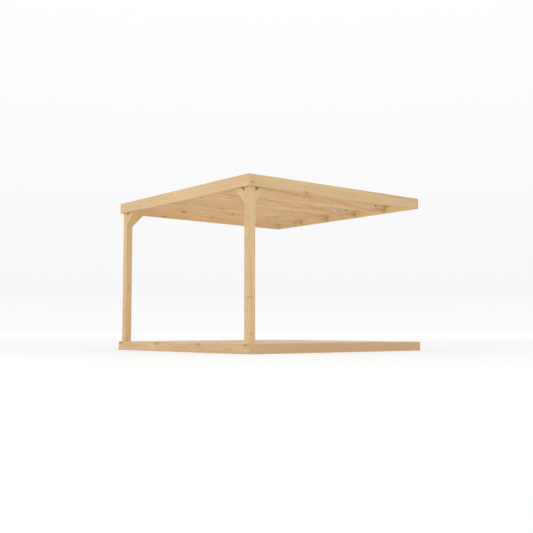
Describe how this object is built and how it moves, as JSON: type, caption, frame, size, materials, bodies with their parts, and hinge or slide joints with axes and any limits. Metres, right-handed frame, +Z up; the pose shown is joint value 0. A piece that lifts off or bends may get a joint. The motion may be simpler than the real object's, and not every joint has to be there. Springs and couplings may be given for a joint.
{
  "type": "attached patio cover",
  "caption": "Flat timber patio cover: a joisted roof frame on two braced posts, bolted to a wall along one side, over a low timber floor.",
  "frame": {"origin": "middle of the footprint at ground level", "axes": "+X towards the wall that the cover is fastened to, +Y along the wall from the near side to the far side, +Z up"},
  "size_m": [3.35, 3.4, 2.36],
  "materials": {
    "roof_timber": "planed, unpainted",
    "roof_boards": "planed, unpainted",
    "post_timber": "planed, unpainted",
    "floor_timber": "planed, unpainted",
    "floorboards": "planed, unpainted",
    "membrane": "matt"
  },
  "bodies": {
    "root": {"floor_front_board": "floor_timber", "floor_wall_board": "floor_timber", "floor_near_board": "floor_timber", "floor_far_board": "floor_timber", "floor_joist_1": "floor_timber", "floor_joist_2": "floor_timber", "floor_joist_3": "floor_timber", "floor_joist_4": "floor_timber", "floor_joist_5": "floor_timber", "floor_joist_6": "floor_timber", "floor_joist_7": "floor_timber", "floor_deck": "floorboards", "near_post": "post_timber", "far_post": "post_timber", "near_front_brace": "post_timber", "far_front_brace": "post_timber", "near_side_brace": "post_timber", "far_side_brace": "post_timber", "front_rim": "roof_timber", "wall_rim": "roof_timber", "near_rim": "roof_timber", "far_rim": "roof_timber", "roof_joist_1": "roof_timber", "roof_joist_2": "roof_timber", "roof_joist_3": "roof_timber", "roof_joist_4": "roof_timber", "near_batten": "roof_timber", "far_batten": "roof_timber", "roof_deck": "roof_boards", "roof_membrane": "membrane"}
  },
  "joints": []
}
